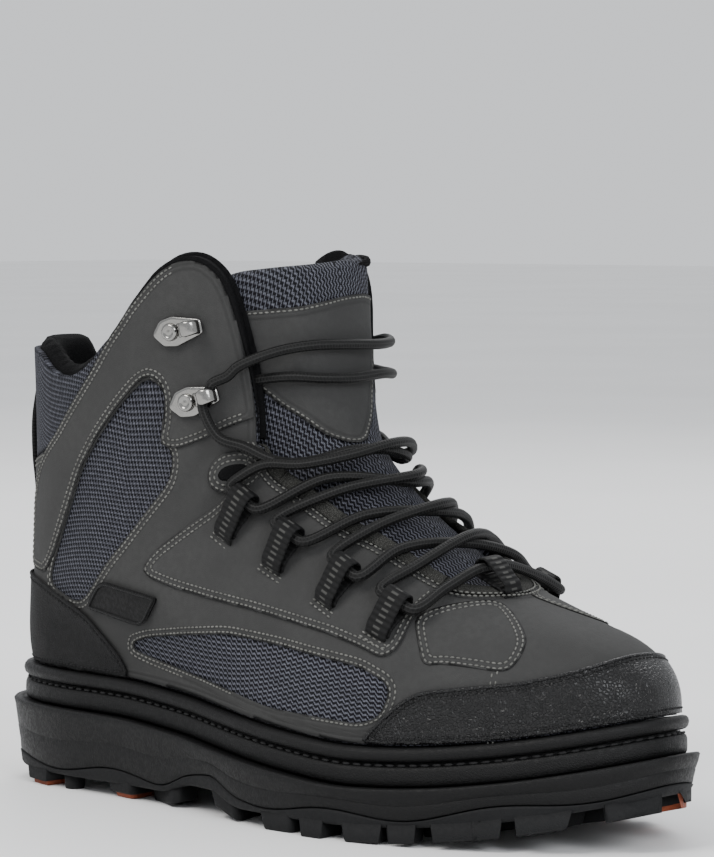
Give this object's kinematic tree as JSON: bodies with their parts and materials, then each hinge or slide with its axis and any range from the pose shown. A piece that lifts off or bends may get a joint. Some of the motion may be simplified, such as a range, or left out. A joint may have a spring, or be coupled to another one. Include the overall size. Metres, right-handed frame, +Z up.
{
  "type": "wading boot",
  "caption": "Ankle-high laced boot with a thick stepped and lugged rubber sole, padded collar, tall tongue, webbing lace loops and metal speed hooks.",
  "frame": {"origin": "on the floor, under the middle of the sole's bounding rectangle", "axes": "+X towards the toe, +Y towards the inner (medial) side, +Z up"},
  "size_m": [0.318, 0.1226, 0.2125],
  "materials": {
    "tread": "matte, slightly grey moulded rubber with a wavy upper line",
    "rubber": "satin black moulded rubber",
    "contrast": "matte rust-orange moulded rubber",
    "nubuck": "dark grey matte nubuck with light stitches",
    "grained": "black semi-gloss pebble grain",
    "mesh": "grey-blue zigzag woven mesh and dark grey panels",
    "lining": "black padded fabric",
    "webbing": "black ribbed webbing",
    "lace": "round black braided lace",
    "metal": "polished silver plate and rivet"
  },
  "bodies": {
    "root": {"outsole_tread": "tread", "sole_wall": "rubber", "midsole_strip": "rubber", "welt": "rubber", "insole": "lining", "upper": "mesh", "toe_rand": "grained", "heel_counter": "grained", "eyestay_lateral": "nubuck", "eyestay_medial": "nubuck", "ankle_flap_lateral": "nubuck", "ankle_flap_medial": "nubuck", "badge_lateral": "rubber", "collar_lining": "lining", "flap_binding_lateral": "lining", "flap_binding_medial": "lining", "tongue": "nubuck", "lace_loop_centre": "webbing", "heel_pull": "webbing", "lace_crossings": "lace", "lace_end_lateral": "lace", "lace_end_medial": "lace", "contrast_lug_1": "contrast", "contrast_lug_2": "contrast", "contrast_lug_3": "contrast", "contrast_lug_4": "contrast", "contrast_lug_5": "contrast", "contrast_lug_6": "contrast", "contrast_lug_7": "contrast", "contrast_lug_8": "contrast", "lace_loop_lateral_1": "webbing", "lace_loop_lateral_2": "webbing", "lace_loop_lateral_3": "webbing", "lace_loop_lateral_4": "webbing", "speed_hook_lateral_upper": "metal", "speed_hook_lateral_lower": "metal", "lace_loop_medial_1": "webbing", "lace_loop_medial_2": "webbing", "lace_loop_medial_3": "webbing", "lace_loop_medial_4": "webbing", "speed_hook_medial_upper": "metal", "speed_hook_medial_lower": "metal"}
  },
  "joints": []
}
